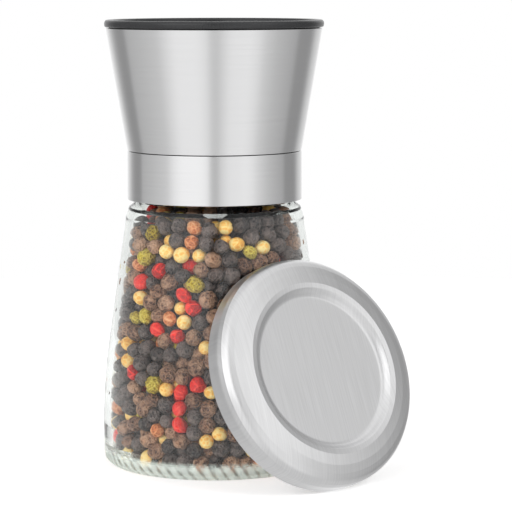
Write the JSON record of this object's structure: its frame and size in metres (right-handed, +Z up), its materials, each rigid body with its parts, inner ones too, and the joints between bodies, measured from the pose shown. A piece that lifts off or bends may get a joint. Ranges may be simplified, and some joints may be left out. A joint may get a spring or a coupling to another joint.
{
  "type": "pepper mill",
  "caption": "Hand pepper mill: tapered glass jar, steel-clad twist head with a conical ceramic burr and centre adjuster, and a loose dished steel lid leaning on the jar.",
  "frame": {"origin": "middle of the jar's base, on the surface that the mill stands on", "axes": "+Z up the mill's axis; -Y is the front, where the lid leans on the jar a little to the right; +X is to the right seen from the front"},
  "size_m": [0.0868, 0.0902, 0.1267],
  "materials": {
    "jar_glass": "clear pressed glass, faintly green at the edges",
    "pepper": "dry wrinkled peppercorns, mostly black with cream, red and green ones",
    "silicone": "translucent white silicone",
    "black_plastic": "moulded black, satin",
    "brushed_steel": "fine circumferential brushing",
    "bright_steel": "plain machined steel",
    "brass": "turned brass",
    "ceramic": "fired white ceramic, matt"
  },
  "bodies": {
    "jar": {"glass_jar": "jar_glass", "peppercorns": "pepper"},
    "seal": {"jar_gasket": "silicone"},
    "collar": {"threaded_collar": "black_plastic", "lower_sleeve": "brushed_steel", "spindle": "bright_steel", "spindle_nut": "bright_steel", "pressure_spring": "bright_steel"},
    "head": {"upper_shell": "brushed_steel", "head_insert": "black_plastic", "stator_burr": "ceramic", "stator_retainer": "black_plastic", "retainer_screw_1": "bright_steel", "retainer_screw_2": "bright_steel", "retainer_screw_3": "bright_steel"},
    "rotor": {"rotor_burr": "ceramic", "rotor_carrier": "black_plastic", "thrust_washer": "bright_steel"},
    "knob": {"adjuster_knob": "black_plastic", "knob_nut": "brass", "knob_cap": "black_plastic"},
    "lid": {"lid_shell": "brushed_steel", "lid_liner": "black_plastic"}
  },
  "joints": [
    {"name": "head_lift", "type": "slide", "parent": "jar", "child": "seal", "axis": [0, 0, 1], "range_m": [0, 0.0055]},
    {"name": "head_unscrew", "type": "hinge", "parent": "seal", "child": "collar", "pos_m": [0, 0, 0.0887], "axis": [0, 0, 1], "range_deg": [0, 450.05]},
    {"name": "head_turn", "type": "hinge", "parent": "collar", "child": "head", "pos_m": [0, 0, 0.0922], "axis": [0, 0, 1], "continuous": true},
    {"name": "burr_gap", "type": "slide", "parent": "collar", "child": "rotor", "axis": [0, 0, 1], "range_m": [0, 0.0015], "deforming": ["pressure_spring"]},
    {"name": "adjuster", "type": "hinge", "parent": "rotor", "child": "knob", "pos_m": [0, 0, 0.111], "axis": [0, 0, 1], "range_deg": [0, 540.05]},
    {"name": "lid_lift", "type": "slide", "parent": "jar", "child": "lid", "axis": [0.5759, -0.7137, 0.3987], "range_m": [0, 0.05]}
  ],
  "couplings": [
    {"joint": "head_unscrew", "follows": "head_lift", "rad_per_m": 1428},
    {"joint": "adjuster", "follows": "burr_gap", "rad_per_m": 6283.2}
  ]
}
